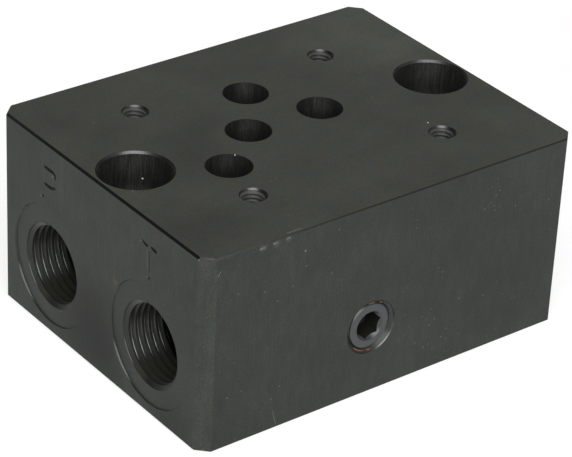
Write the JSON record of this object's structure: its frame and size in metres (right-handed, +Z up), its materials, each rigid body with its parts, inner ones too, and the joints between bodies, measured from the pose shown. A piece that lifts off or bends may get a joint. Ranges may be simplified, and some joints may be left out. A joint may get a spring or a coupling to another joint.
{
  "type": "hydraulic valve subplate",
  "caption": "Black steel subplate block with a drilled valve face on top, tapped pipe ports in both ends and counterbored fixing holes.",
  "frame": {"origin": "the middle of the bottom face", "axes": "+X along the block towards the end with work ports A and B, +Y to its back, +Z up out of the valve face"},
  "size_m": [0.105, 0.082, 0.0495],
  "materials": {
    "black_steel": "matt black oxide over milled steel",
    "plug_steel": "phosphated steel"
  },
  "bodies": {
    "root": {"valve_block": "black_steel", "front_plug": "plug_steel", "back_plug": "plug_steel"}
  },
  "joints": []
}
